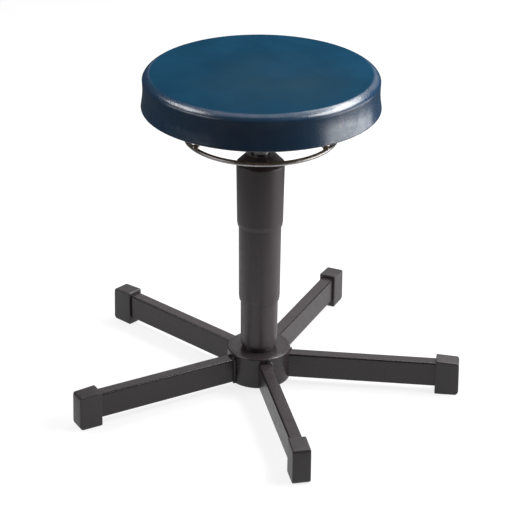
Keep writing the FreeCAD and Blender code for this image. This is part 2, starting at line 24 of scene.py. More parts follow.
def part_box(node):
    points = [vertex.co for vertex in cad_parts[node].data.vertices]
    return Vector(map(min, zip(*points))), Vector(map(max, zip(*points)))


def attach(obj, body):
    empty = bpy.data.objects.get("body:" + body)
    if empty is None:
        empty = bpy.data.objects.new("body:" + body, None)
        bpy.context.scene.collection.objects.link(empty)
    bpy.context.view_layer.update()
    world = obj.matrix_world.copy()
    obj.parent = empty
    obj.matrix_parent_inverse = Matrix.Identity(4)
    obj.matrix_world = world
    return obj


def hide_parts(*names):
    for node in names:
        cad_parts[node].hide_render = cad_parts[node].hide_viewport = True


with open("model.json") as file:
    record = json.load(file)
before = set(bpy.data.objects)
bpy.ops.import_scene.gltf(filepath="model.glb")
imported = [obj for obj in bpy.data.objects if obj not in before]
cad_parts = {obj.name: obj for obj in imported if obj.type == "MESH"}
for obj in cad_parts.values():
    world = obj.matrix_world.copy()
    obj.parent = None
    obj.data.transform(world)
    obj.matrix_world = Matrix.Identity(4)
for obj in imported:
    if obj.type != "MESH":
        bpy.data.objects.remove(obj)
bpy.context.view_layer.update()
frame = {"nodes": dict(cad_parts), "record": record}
LOG = logging.getLogger("work_stool")
MM = 0.001
# Small roundings that many edges share, the keenest first, and the least one that an outline takes.
KEEN, BROKEN, SOFT, EASED = 0.2 * MM, 0.3 * MM, 0.4 * MM, 0.5 * MM
LEAST_ROUNDING = 0.08 * MM
# How far along a side an outline has its next point after an arc.
ARC_HOLD = 0.4 * MM
SHARP_ANGLE = math.radians(40.0)
WELD_DISTANCE = 1e-7
# Between these values lies nearly all of the smooth noise.
NOISE_LOW, NOISE_HIGH = 0.3, 0.7

Corners = list[list[float]]
Colour = tuple[float, float, float, float]


class Body(Enum):
    """Bodies of the frame that a new piece rides on."""

    BASE = "base"
    SEAT = "seat"
    MIDDLE_COVER = "middle_cover"
    HOOP = "hoop"
    BUTTON = "button"


class Slot(Enum):
    """Material slots of the record."""

    SEAT_SKIN = "seat_skin"
    BASE_PAINT = "base_paint"
    COVER_PLASTIC = "cover_plastic"
    FOOT_PLASTIC = "foot_plastic"
    HOOP_ZINC = "hoop_zinc"
    POLISHED_STEEL = "polished_steel"
    BARE_STEEL = "bare_steel"
    ZINC_PLATE = "zinc_plate"
    LIFT_PAINT = "lift_paint"
    PAN_PAINT = "pan_paint"
    GUIDE_PLASTIC = "guide_plastic"
    ALLOY = "alloy"
    SEAL_RUBBER = "seal_rubber"
    BOARD_WOOD = "board_wood"


def unit(vectors: np.ndarray) -> np.ndarray:
    """Vectors divided by their lengths, along the last axis."""
    return vectors / np.maximum(np.linalg.norm(vectors, axis=-1, keepdims=True), 1e-12)


def rounded(corners: Sequence[Sequence[float]], closed: bool = True, steps: int = 6) -> np.ndarray:
    """Outline whose corners are arcs.

    An arc of radius r at a corner whose sides meet at the angle 2a starts and ends r / tan a from the
    corner, about a centre on the bisector, r / sin a from it. One more point follows each side a
    little way, so that smooth shading stays flat along it.

    Args:
        corners: One (first, second, radius) for each corner, in order.
        closed: False keeps the first and the last corner as plain end points.
        steps: How many chords an arc has.

    Returns:
        Array of points, (count, 2).
    """
    table = np.asarray(corners, float)
    here = table[:, :2]
    radius = np.maximum(table[:, 2], LEAST_ROUNDING)[:, None]
    back = unit(np.roll(here, 1, 0) - here)
    ahead = unit(np.roll(here, -1, 0) - here)
    half = np.arccos(np.clip((back * ahead).sum(1), -0.999999, 0.999999))[:, None] / 2
    centre = here + unit(back + ahead) * radius / np.sin(half)
    start = here + back * radius / np.tan(half)
    end = here + ahead * radius / np.tan(half)
    turn = (math.pi - 2 * half)[:, None]
    share = np.linspace(0, 1, steps + 1)[None, :, None]
    first = (start - centre)[:, None]
    last = (end - centre)[:, None]
    arc = centre[:, None] + (np.sin((1 - share) * turn) * first + np.sin(share * turn) * last) / np.sin(turn)
    side = np.linalg.norm(np.roll(start, -1, 0) - end, axis=1)[:, None]
    hold = np.minimum(ARC_HOLD, side / 3)
    before = start + back * np.roll(hold, 1, 0)
    after = end + ahead * hold
    points = np.concatenate([before[:, None], arc, after[:, None]], 1)
    if closed:
        return points.reshape(-1, 2)
    return np.concatenate([here[:1], points[1:-1].reshape(-1, 2), here[-1:]])


def refine(points: np.ndarray, spacing: float, clear: float = 0.3) -> np.ndarray:
    """Polyline with more points on its long stretches.

    Args:
        points: Array of points, (count, dimensions).
        spacing: The greatest distance between neighbours.
        clear: How far an added point stays from the given ones, as a share of the spacing.

    Returns:
        The points and the added ones between them, by linear interpolation over the run's length.
    """
    length = np.concatenate([[0], np.cumsum(np.linalg.norm(np.diff(points, axis=0), axis=1))])
    even = np.linspace(0, length[-1], max(2, int(length[-1] / spacing) + 1))
    near = np.abs(even[:, None] - length[None, :]).min(1) < clear * spacing
    where = np.sort(np.concatenate([length, even[~near]]))
    return np.stack([np.interp(where, length, points[:, k]) for k in range(points.shape[1])], -1)


def oblong(left: float, right: float, low: float, high: float, roundings: Sequence[float]) -> Corners:
    """Corners (first, second, rounding) of a rectangle, from the left low one, round by the right."""
    places = ((left, low), (right, low), (right, high), (left, high))
    return [[*place, rounding] for place, rounding in zip(places, roundings)]


def circle(around: int) -> np.ndarray:
    """Angles evenly round a full turn."""
    return np.linspace(0, 2 * math.pi, around, endpoint=False)


def turned(profile: np.ndarray, around: int) -> np.ndarray:
    """Surface of revolution: a point (r, z) of the profile goes to (r cos a, r sin a, z) at each angle a.

    Args:
        profile: Array of (radius, height), (count, 2).
        around: How many angles there are.

    Returns:
        Grid of points, (count, around, 3).
    """
    angle = circle(around)
    radius = profile[:, :1]
    height = np.broadcast_to(profile[:, 1:], (len(profile), around))
    return np.stack([radius * np.cos(angle), radius * np.sin(angle), height], -1)


def carried(
    path: np.ndarray, radius: np.ndarray, side: np.ndarray | Sequence[float], around: int, closed: bool
) -> np.ndarray:
    """Round bar along a path: point + radius (cos a * side + sin a * (tangent x side)) at each angle a.

    Args:
        path: Array of points, (count, 3).
        radius: The bar's radius at each point.
        side: One direction across the path, or one for each point, made square to its tangent here.
        around: How many angles there are.
        closed: Whether the path's end joins its start.

    Returns:
        Grid of points, (count, around, 3).
    """
    spread = np.roll(path, -1, 0) - np.roll(path, 1, 0) if closed else np.gradient(path, axis=0)
    tangent = unit(spread)
    across = unit(side - (side * tangent).sum(-1, keepdims=True) * tangent)
    lift = np.cross(tangent, across)
    angle = circle(around)[None, :, None]
    ring = np.cos(angle) * across[:, None] + np.sin(angle) * lift[:, None]
    return path[:, None] + radius[:, None, None] * ring


def swung(points: np.ndarray, degrees: float) -> np.ndarray:
    """Points turned about the column's axis: (x cos a - y sin a, x sin a + y cos a, z).

    Args:
        points: Array of points, (..., 3).
        degrees: The angle a.

    Returns:
        Array of the same shape.
    """
    angle = math.radians(degrees)
    turn = np.array([
        [math.cos(angle), -math.sin(angle), 0],
        [math.sin(angle), math.cos(angle), 0],
        [0, 0, 1],
    ])
    return points @ turn.T


def ringed(grid: np.ndarray, angles: Sequence[float]) -> list[np.ndarray]:
    """Copies of a grid of points, swung to each of the angles in degrees."""
    return [swung(grid, angle) for angle in angles]


def bearings(first: float, count: int) -> list[float]:
    """Angles in degrees of a number of equal pieces round the column, from the first one on."""
    return [first + index * 360.0 / count for index in range(count)]


def skin(name: str, grids: Sequence[np.ndarray], loop: bool = False, painted_shade: np.ndarray | None = None) -> Object:
    """Mesh object of one or more grids of points, each closed round its columns.

    The quad at row i and column j joins the points (i, j), (i, j+1), (i+1, j+1) and (i+1, j), with
    columns counted round. The UV map is in metres: the run along the columns and along the rows.
    Points that coincide are merged, which closes seams and poles, and faces are turned outwards.

    Args:
        name: Name of the object.
        grids: Arrays of points, (rows, columns, 3).
        loop: Whether the last row joins the first one.
        painted_shade: Share of painted shade, from 0 to 1, for each point of a single grid, kept as the
            attribute "tone".

    Returns:
        The object, linked to the scene.
    """
    points, quads, spots = [], [], []
    offset = 0
    for grid in grids:
        rows, columns = grid.shape[:2]
        row = np.arange(rows if loop else rows - 1)[:, None]
        column = np.arange(columns)[None, :]
        below, beside = (row + 1) % rows, (column + 1) % columns
        here, under = row * columns, below * columns
        ring = [here + column, here + beside, under + beside, under + column]
        quads.append(np.stack(ring, -1).reshape(-1, 4) + offset)
        across = np.linalg.norm(np.roll(grid, -1, 1) - grid, axis=2).max(0)
        along = np.linalg.norm(np.roll(grid, -1, 0) - grid, axis=2).mean(1)
        u = np.concatenate([[0], np.cumsum(across)])
        v = np.concatenate([[0], np.cumsum(along)])
        edge_u = np.stack([u[column], u[column + 1], u[column + 1], u[column]], -1)
        edge_v = np.stack([v[row], v[row], v[row + 1], v[row + 1]], -1)
        spots.append(np.stack(np.broadcast_arrays(edge_u, edge_v), -1).reshape(-1, 2))
        points.append(grid.reshape(-1, 3))
        offset += rows * columns
    mesh = bpy.data.meshes.new(name)
    mesh.from_pydata(np.concatenate(points), [], np.concatenate(quads))
    mesh.uv_layers.new(name="UVMap").data.foreach_set("uv", np.concatenate(spots).astype(np.float32).ravel())
    # Each point's tone, a share of painted shade, goes to an attribute that the finish darkens by.
    if painted_shade is not None:
        shades = mesh.attributes.new("painted_shade", "FLOAT", "POINT")
        shades.data.foreach_set("value", painted_shade.astype(np.float32).ravel())
    work = bmesh.new()
    work.from_mesh(mesh)
    bmesh.ops.remove_doubles(work, verts=work.verts, dist=WELD_DISTANCE)
    bmesh.ops.dissolve_degenerate(work, edges=work.edges, dist=WELD_DISTANCE)
    bmesh.ops.recalc_face_normals(work, faces=work.faces)
    work.to_mesh(mesh)
    work.free()
    mesh.polygons.foreach_set("use_smooth", np.ones(len(mesh.polygons), bool))
    mesh.set_sharp_from_angle(angle=SHARP_ANGLE)
    mesh.update()
    piece = bpy.data.objects.new(name, mesh)
    bpy.context.scene.collection.objects.link(piece)
    return piece


class Graph:
    """Node tree of a material or of the sky, written as nested calls."""

    def __init__(self, owner: Material | World, shader: str = "Principled BSDF") -> None:
        """Takes the tree of a new material or sky.

        Args:
            owner: The material or sky.
            shader: Name of its shader node.
        """
        owner.use_nodes = True
        self.tree = owner.node_tree
        self.shader = self.tree.nodes[shader]

    @cached_property
    def place(self) -> NodeSocket:
        """Object coordinates."""
        return self.add("TexCoord").outputs["Object"]

    def feed(self, node: Node, feeds: Mapping[object, object]) -> None:
        """Links a node's inputs to other sockets, or sets them to plain values.

        Args:
            node: The node.
            feeds: What goes into its inputs, by name or number.
        """
        for key, value in feeds.items():
            if isinstance(value, NodeSocket):
                self.tree.links.new(value, node.inputs[key])
            else:
                node.inputs[key].default_value = value

    def add(self, kind: str, feeds: Mapping[object, object] | None = None, **settings: object) -> Node:
        """Adds a shader node.

        Args:
            kind: Its type, without the word ShaderNode.
            feeds: What goes into its inputs, by name or number.
            settings: Its own options.

        Returns:
            The node.
        """
        node = self.tree.nodes.new("ShaderNode" + kind)
        for option, value in settings.items():
            setattr(node, option, value)
        self.feed(node, feeds or {})
        return node

    def stretched(self, scale: Sequence[float]) -> NodeSocket:
        """Object coordinates scaled along each axis."""
        return self.add("Mapping", {"Vector": self.place, "Scale": scale}).outputs["Vector"]

    def noise(self, scale: float, detail: float = 3.0, place: NodeSocket | None = None) -> NodeSocket:
        """Smooth noise from 0 to 1, at a number of waves per metre."""
        feeds = {"Vector": place or self.place, "Scale": scale, "Detail": detail}
        return self.add("TexNoise", feeds).outputs["Fac"]

    def cells(self, scale: float, output: str = "Distance") -> NodeSocket:
        """Distance to, or colour of, the nearest of many scattered points."""
        return self.add("TexVoronoi", {"Vector": self.place, "Scale": scale}).outputs[output]

    def ranged(self, value: NodeSocket, low: float, high: float, first: float, last: float) -> NodeSocket:
        """A value mapped from low..high to first..last, and held within it."""
        feeds = {"Value": value, "From Min": low, "From Max": high, "To Min": first, "To Max": last}
        return self.add("MapRange", feeds).outputs["Result"]

    def wander(self, scale: float, detail: float, first: float, last: float) -> NodeSocket:
        """Smooth noise spread over first..last."""
        return self.ranged(self.noise(scale, detail), NOISE_LOW, NOISE_HIGH, first, last)

    def worked(self, operation: str, first: object, second: object) -> NodeSocket:
        """Result of an arithmetic operation on two values."""
        return self.add("Math", {0: first, 1: second}, operation=operation).outputs[0]

    def blended(self, share: object, first: object, last: object) -> NodeSocket:
        """Mix of two colours by a share from 0 to 1."""
        return self.add("Mix", {0: share, 6: first, 7: last}, data_type="RGBA").outputs[2]

    def mirrored(self, path: Mapping[str, NodeSocket]) -> NodeSocket:
        """1 for a mirrored or bent ray and 0 for others, from the outputs of a Light Path node."""
        return self.worked("MAXIMUM", path["Is Glossy Ray"], path["Is Transmission Ray"])

    def embossed(self, height: NodeSocket, depth: float, under: NodeSocket | None = None) -> NodeSocket:
        """Normal of a surface raised by a height times a depth.

        Args:
            height: The height, from 0 to 1.
            depth: The depth in metres.
            under: Normal of the surface that it is laid on.

        Returns:
            The normal.
        """
        feeds = {"Height": height, "Distance": depth, "Strength": 1.0}
        if under is not None:
            feeds["Normal"] = under
        return self.add("Bump", feeds).outputs["Normal"]


def colour(red: float, green: float, blue: float) -> Colour:
    """Linear colour with full opacity."""
    return red, green, blue, 1.0


def grey(level: float) -> Colour:
    """Linear grey."""
    return colour(level, level, level)


def scaled(tint: Colour, factor: float) -> Colour:
    """A colour made lighter or darker by a factor."""
    return colour(*(min(1.0, channel * factor) for channel in tint[:3]))


@dataclass(frozen=True)
class Finish(ABC):
    """A surface's colour, gloss and fine relief.

    Attributes:
        slot: The record's material slot that it paints.
        tint: Its mean colour.
        rough: Its mean roughness.
        mottle: How far the colour wanders, as a share.
        patch: How many patches of colour there are in a metre.
        shine: Specular level.
        gloss_spread: How far the roughness goes below and above its mean.
    """

    slot: Slot
    tint: Colour
    rough: float
    mottle: float = 0.10
    patch: float = 22.0
    shine: float = 0.5
    gloss_spread: tuple[float, float] = (-0.05, 0.06)

    def clouded(self, graph: Graph, share: NodeSocket | None = None) -> NodeSocket:
        """Mean colour that wanders between a darker and a lighter one."""
        share = share or graph.wander(self.patch, 4.0, 0.0, 1.0)
        return graph.blended(share, scaled(self.tint, 1 - self.mottle), scaled(self.tint, 1 + self.mottle))

    def glossed(self, graph: Graph, value: NodeSocket, low: float, high: float) -> NodeSocket:
        """Roughness that goes over its spread as a value goes from low to high."""
        return graph.ranged(value, low, high, *(self.rough + share for share in self.gloss_spread))

    @abstractmethod
    def paint(self, graph: Graph) -> dict[str, object]:
        """What goes into the shader's inputs, by name."""

    def material(self) -> Material:
        """The finish as a material named after its slot.

        Returns:
            The material.
        """
        material = bpy.data.materials.new(self.slot.value)
        graph = Graph(material)
        graph.feed(graph.shader, {"Specular IOR Level": self.shine} | self.paint(graph))
        return material


@dataclass(frozen=True)
class MouldedSkin(Finish):
    """Self-skinned foam with a pebbled grain: dull on top, polished round the rim, with painted light.

    The middle of the top is greyed, part wear where people sit and part painted sheen; from the rim
    down the colour is darker, as painted shade on the side.

    Attributes:
        wear_and_sheen: Colour of the patch in the middle of the top, part wear and part painted sheen.
        wear_and_sheen_centre: Where the patch lies on the top.
        wear_and_sheen_core: How far it is wholly worn.
        wear_and_sheen_radius: How far it reaches.
        wear_and_sheen_share: How much of the colour it takes in its middle.
        wear_and_sheen_cloud: How many clouds it has in a metre.
        edge: Colour from the rim down, darker than the top as painted shade on the side.
        top_radius: How far the dull top reaches.
        blend_width: How wide the change to the polished rim is.
        top_rough: Roughness of the top.
        polish: Roughness of the polished layer.
        polish_index: Its refractive index.
        polish_range: Its least and greatest weight.
        pebbles: How many pebbles there are in a metre.
        pebble_depth: How deep the grain is.
        creases: How many creases there are in a metre.
        crease_depth: How deep they are.
    """

    wear_and_sheen: Colour = colour(0.022, 0.050, 0.072)
    wear_and_sheen_centre: tuple[float, float, float] = (0.02, -0.05, 0.0)
    wear_and_sheen_core: float = 0.02
    wear_and_sheen_radius: float = 0.150
    wear_and_sheen_share: float = 0.8
    wear_and_sheen_cloud: float = 11.0
    # Painted shade: the side from the rim down takes this darker colour.
    edge: Colour = colour(0.005, 0.038, 0.092)
    top_radius: float = 0.1630
    blend_width: float = 0.004
    top_rough: float = 0.58
    polish: float = 0.25
    polish_index: float = 2.1
    polish_range: tuple[float, float] = (0.65, 0.95)
    pebbles: float = 720.0
    pebble_depth: float = 0.06 * MM
    creases: float = 260.0
    crease_depth: float = 0.05 * MM

    def paint(self, graph: Graph) -> dict[str, object]:
        """Clouded colour, greyed in the middle by wear and painted sheen, darker from the rim down as painted
        shade, and a polished layer that starts where the top ends.

        Args:
            graph: The material's graph.

        Returns:
            What goes into the shader's inputs, by name.
        """
        flat = graph.stretched((1.0, 1.0, 0.0))
        # Patch in the middle of the top: part wear, part painted sheen.
        apart = graph.add("VectorMath", {0: flat, 1: self.wear_and_sheen_centre}, operation="DISTANCE").outputs["Value"]
        middle = graph.ranged(apart, self.wear_and_sheen_core, self.wear_and_sheen_radius, self.wear_and_sheen_share, 0.0)
        cloud = graph.ranged(graph.noise(self.wear_and_sheen_cloud, 5.0), 0.35, 0.68, 0.2, 1.0)
        top = graph.blended(graph.worked("MULTIPLY", middle, cloud), self.clouded(graph), self.wear_and_sheen)
        radius = graph.add("VectorMath", {0: flat}, operation="LENGTH").outputs["Value"]
        outer = graph.ranged(radius, self.top_radius, self.top_radius + self.blend_width, 0.0, 1.0)
        grain = graph.ranged(graph.cells(self.pebbles), 0.0, 0.75, 1.0, 0.0)
        normal = graph.embossed(graph.noise(self.creases, 6.0), self.crease_depth)
        normal = graph.embossed(grain, self.pebble_depth, normal)
        return {
            # Base colour turns to the edge colour from the rim down: painted shade on the side.
            "Base Color": graph.blended(outer, top, self.edge),
            "Roughness": graph.ranged(outer, 0.0, 1.0, self.top_rough, self.rough),
            "Coat Weight": graph.worked("MULTIPLY", outer, graph.wander(60.0, 4.0, *self.polish_range)),
            "Coat Roughness": self.polish,
            "Coat IOR": self.polish_index,
            "Normal": normal,
            "Coat Normal": normal,
        }


@dataclass(frozen=True)
class PowderCoat(Finish):
    """Baked powder paint: a fine orange peel, specks, and painted shade as darker lines along corners."""

    peel: float = 420.0
    peel_depth: float = 0.05 * MM
    specks: float = 2600.0
    speck_depth: float = 0.015 * MM
    dulling: float = 90.0
    # How dark the painted shade along corners makes the colour.
    corner_shade: float = 0.35

    def paint(self, graph: Graph) -> dict[str, object]:
        """Clouded colour, darkened along corners as painted shade by the attribute "tone", over the peel.

        Args:
            graph: The material's graph.

        Returns:
            What goes into the shader's inputs, by name.
        """
        # Painted shade: the attribute darkens the colour along the legs' upper corners.
        painted_shade = graph.add("Attribute", attribute_name="painted_shade").outputs["Fac"]
        normal = graph.embossed(graph.noise(self.peel, 2.0), self.peel_depth)
        return {
            "Base Color": graph.blended(painted_shade, self.clouded(graph), scaled(self.tint, self.corner_shade)),
            "Roughness": self.glossed(graph, graph.noise(self.dulling), NOISE_LOW, NOISE_HIGH),
            "Normal": graph.embossed(graph.noise(self.specks, 1.0), self.speck_depth, normal),
        }


@dataclass(frozen=True)
class MouldedPlastic(Finish):
    """Injection-moulded plastic from a spark-eroded mould, with faint flow marks along the mould's draw."""

    spark: float = 1500.0
    spark_depth: float = 0.03 * MM
    flow: tuple[float, float, float] = (70.0, 70.0, 5.0)
    dulling: float = 120.0
    gloss_spread: tuple[float, float] = (-0.04, 0.05)

    def paint(self, graph: Graph) -> dict[str, object]:
        """Colour streaked along the draw, over the eroded texture.

        Args:
            graph: The material's graph.

        Returns:
            What goes into the shader's inputs, by name.
        """
        streak = graph.ranged(graph.noise(1.0, 3.0, graph.stretched(self.flow)), 0.35, 0.65, 0.0, 1.0)
        return {
            "Base Color": self.clouded(graph, streak),
            "Roughness": self.glossed(graph, graph.noise(self.dulling), NOISE_LOW, NOISE_HIGH),
            "Normal": graph.embossed(graph.noise(self.spark, 2.0), self.spark_depth),
        }


@dataclass(frozen=True)
class Metal(Finish):
    """Bare or plated metal: drawn lines or crystal patches that change its gloss, and light scratches."""

    lines: tuple[float, float, float] = (30.0, 30.0, 900.0)
    spangle: float = 160.0
    scratch_depth: float = 0.006 * MM
    gloss_spread: tuple[float, float] = (-0.07, 0.10)

    def paint(self, graph: Graph) -> dict[str, object]:
        """Metal whose gloss follows its crystals and drawn lines.

        Args:
            graph: The material's graph.

        Returns:
            What goes into the shader's inputs, by name.
        """
        drawn = graph.noise(1.0, 4.0, graph.stretched(self.lines))
        patches = graph.cells(self.spangle, "Color")
        shade = graph.add("SeparateColor", {"Color": patches}).outputs[0]
        both = graph.worked("MULTIPLY", drawn, shade)
        return {
            "Metallic": 1.0,
            "Base Color": self.clouded(graph, shade),
            "Roughness": self.glossed(graph, both, 0.0, 0.6),
            "Normal": graph.embossed(drawn, self.scratch_depth),
        }


@dataclass(frozen=True)
class Plywood(Finish):
    """Rotary-cut birch veneer, its grain along X, with plies that show at the edge."""

    ply: float = 1.5 * MM
    ply_shade: float = 0.55
    grain: tuple[float, float, float] = (6.0, 130.0, 130.0)
    figure: tuple[float, float, float] = (2.0, 14.0, 14.0)
    pore_depth: float = 0.05 * MM
    gloss_spread: tuple[float, float] = (-0.08, 0.08)

    def paint(self, graph: Graph) -> dict[str, object]:
        """Long grain and pores, with alternate plies darker.

        Args:
            graph: The material's graph.

        Returns:
            What goes into the shader's inputs, by name.
        """
        grain = graph.noise(1.0, 6.0, graph.stretched(self.grain))
        share = graph.worked("MULTIPLY", grain, graph.noise(1.0, 3.0, graph.stretched(self.figure)))
        wood = self.clouded(graph, graph.ranged(share, 0.12, 0.42, 0.0, 1.0))
        height = graph.add("SeparateXYZ", {0: graph.place}).outputs["Z"]
        layer = graph.worked("PINGPONG", height, self.ply)
        dark = graph.ranged(layer, 0.45 * self.ply, 0.55 * self.ply, 0.0, 0.35)
        return {
            "Base Color": graph.blended(dark, wood, scaled(self.tint, self.ply_shade)),
            "Roughness": self.glossed(graph, grain, NOISE_LOW, NOISE_HIGH),
            "Normal": graph.embossed(grain, self.pore_depth),
        }


FINISHES: tuple[Finish, ...] = (
    MouldedSkin(Slot.SEAT_SKIN, colour(0.0088, 0.043, 0.082), rough=0.5, mottle=0.14, patch=17.0, shine=0.0),
    PowderCoat(Slot.BASE_PAINT, colour(0.033, 0.025, 0.028), rough=0.28, shine=0.6),
    MouldedPlastic(Slot.COVER_PLASTIC, colour(0.047, 0.034, 0.038), rough=0.38, mottle=0.09, shine=0.85),
    MouldedPlastic(Slot.FOOT_PLASTIC, colour(0.042, 0.036, 0.039), rough=0.38, shine=0.65),
    Metal(Slot.HOOP_ZINC, colour(0.46, 0.44, 0.43), rough=0.30, mottle=0.14),
    Metal(Slot.POLISHED_STEEL, colour(0.45, 0.44, 0.45), rough=0.14, mottle=0.04),
    Metal(Slot.BARE_STEEL, colour(0.42, 0.41, 0.40), rough=0.34),
    Metal(Slot.ZINC_PLATE, colour(0.55, 0.55, 0.52), rough=0.30, mottle=0.14, spangle=420.0),
    PowderCoat(Slot.LIFT_PAINT, colour(0.022, 0.022, 0.023), rough=0.28, mottle=0.08),
    PowderCoat(Slot.PAN_PAINT, colour(0.028, 0.026, 0.028), rough=0.38),
    MouldedPlastic(Slot.GUIDE_PLASTIC, colour(0.075, 0.075, 0.078), rough=0.42, mottle=0.06),
    Metal(Slot.ALLOY, colour(0.66, 0.66, 0.66), rough=0.30, mottle=0.08),
    MouldedPlastic(Slot.SEAL_RUBBER, colour(0.018, 0.018, 0.018), rough=0.62, mottle=0.15),
    Plywood(Slot.BOARD_WOOD, colour(0.43, 0.28, 0.15), rough=0.60, mottle=0.22),
)


class Wardrobe:
    """The materials, and what puts a finished piece on its body."""

    def __init__(self) -> None:
        """Makes the material of each slot."""
        self.materials = {finish.slot: finish.material() for finish in FINISHES}

    def dress(self, piece: Object, body: Body, slot: Slot, *nodes: str) -> None:
        """Gives a new piece its finish and body, and reports it.

        Args:
            piece: The piece, in place.
            body: What it rides on.
            slot: Whose finish it takes.
            nodes: The frame's nodes that it stands for.
        """
        piece.data.materials.append(self.materials[slot])
        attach(piece, body.value)
        if nodes:
            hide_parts(*nodes)
        LOG.info("%s rides on %s and stands for %s", piece.name, body.value, ", ".join(nodes) or "nothing")

    def make(
        self, name: str, grids: Sequence[np.ndarray], body: Body, slot: Slot, *nodes: str, loop: bool = False
    ) -> None:
        """Dresses a new piece made of grids of points."""
        self.dress(skin(name, grids, loop), body, slot, *nodes)

    def turn(self, name: str, corners: Corners, around: int, body: Body, slot: Slot, node: str) -> None:
        """Dresses a new piece that is a closed section, its corners rounded, turned about the axis."""
        self.make(name, [turned(rounded(corners), around)], body, slot, node, loop=True)

    def dress_frame(self) -> None:
        """Gives each node of the frame the finish that its record names."""
        for part in frame["record"]["subparts"]:
            node = frame["nodes"][part["node"]]
            material = self.materials[Slot(part["material_slot"])]
            if not node.material_slots:
                node.data.materials.append(material)
            for place in node.material_slots:
                place.material = material
            LOG.info("%s has the finish %s", node.name, material.name)


@dataclass
class SeatCushion:
    """Round moulded pad: a crowned top, a rolled edge, a drawn-in side and a flared hem over a board.

    Attributes:
        rise: How far the cushion swells above the plain block of the frame.
        roll: How far the rolled edge reaches inwards.
        roll_drop: How far it reaches down.
        roll_power: Power of the roll's superellipse; under 2 it flattens halfway, like a wide bevel.
        crown: How far the middle stands above the rim.
        draw: How far the side is drawn in halfway up.
        flare: How far the hem stands out past the rim.
        hem: Radius of the hem's lower edge.
        recess_gap: Air round the board in its recess.
        recess_bevel: Bevel at the recess's mouth.
        wave: Height of the slow waves that foam takes as it cools.
        waves: Share, turns, pitch along the radius, pitch along the height, and phase of each wave.
        wave_start: Radius at which the waves start.
        wave_span: How much further out they are full.
        wave_lift: How far over the board they are full.
        spacing: The greatest distance between rings of points.
        around: How many points a ring has.
    """

    rise: float = 1.5 * MM
    roll: float = 13.0 * MM
    roll_drop: float = 10.0 * MM
    roll_power: float = 1.65
    crown: float = 0.8 * MM
    draw: float = 0.8 * MM
    flare: float = 2.0 * MM
    hem: float = 2.2 * MM
    recess_gap: float = 0.3 * MM
    recess_bevel: float = 1.2 * MM
    wave: float = 0.35 * MM
    waves: tuple[tuple[float, ...], ...] = ((1.0, 3, 0, 60, 0), (0.7, 5, -45, 0, 1.3), (0.5, 11, 0, 150, 0.6))
    wave_start: float = 0.06
    wave_span: float = 0.10
    wave_lift: float = 8 * MM
    spacing: float = 3.0 * MM
    around: int = 288

    def profile(self) -> np.ndarray:
        """Outline from the middle of the top, over the edge, to the board's recess.

        The top is a parabola, the edge a quarter of a superellipse |x|^p + |z|^p = 1, the side a sine
        bow between the edge and the hem, the hem a quarter circle, and the underside is flat.

        Returns:
            Array of (radius, height), (count, 2).
        """
        low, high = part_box("seat_pad")
        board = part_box("seat_board")[1]
        summit = high.z + self.rise
        shoulder = summit - self.crown - self.roll_drop
        reach = high.x - self.flare
        inner = reach - self.roll
        radius = np.linspace(0, inner, 40)
        top = [radius, summit - self.crown * (radius / inner) ** 2]
        turn = np.linspace(0, math.pi / 2, 31)[1:]
        power = 2 / self.roll_power
        edge = [
            inner + self.roll * np.sin(turn) ** power,
            shoulder + self.roll_drop * np.maximum(np.cos(turn), 0) ** power,
        ]
        share = np.linspace(0, 1, 26)[1:]
        side = [
            reach + self.flare * share ** 2 - self.draw * np.sin(math.pi * share),
            shoulder - (shoulder - low.z - self.hem) * share,
        ]
        turn = turn[::3]
        hem = [high.x - self.hem * (1 - np.cos(turn)), low.z + self.hem * (1 - np.sin(turn))]
        recess, ceiling = board.x + self.recess_gap, board.z + self.recess_gap
        under = [
            [recess + self.recess_bevel, recess, recess, 0.0],
            [low.z, low.z + self.recess_bevel, ceiling, ceiling],
        ]
        return np.concatenate([top, edge, side, hem, under], 1).T

    def build(self, wardrobe: Wardrobe) -> None:
        """Turns the outline and sinks slow waves into it.

        The waves are sines of the angle, the radius and the height, added up. They fade out towards the
        middle and towards the board.

        Args:
            wardrobe: What dresses the piece.
        """
        profile = refine(self.profile(), self.spacing)
        grid = turned(profile, self.around)
        angle = circle(self.around)[None, :]
        radius, height = profile[:, :1], profile[:, 1:]
        ripple = sum(
            share * np.sin(turns * angle + outwards * radius + upwards * height + phase)
            for share, turns, outwards, upwards, phase in self.waves
        )
        total = sum(row[0] for row in self.waves)
        board_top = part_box("seat_board")[1].z
        free = np.clip((radius - self.wave_start) / self.wave_span, 0, 1)
        free = free * np.clip((height - board_top) / self.wave_lift, 0, 1)
        ray = unit(grid - np.array([0, 0, board_top]))
        grid = grid - ray * (self.wave / 2 * (1.1 + ripple / total) * free)[..., None]
        piece = skin("seat_cushion", [grid])
        wardrobe.dress(piece, Body.SEAT, Slot.SEAT_SKIN, "seat_pad")


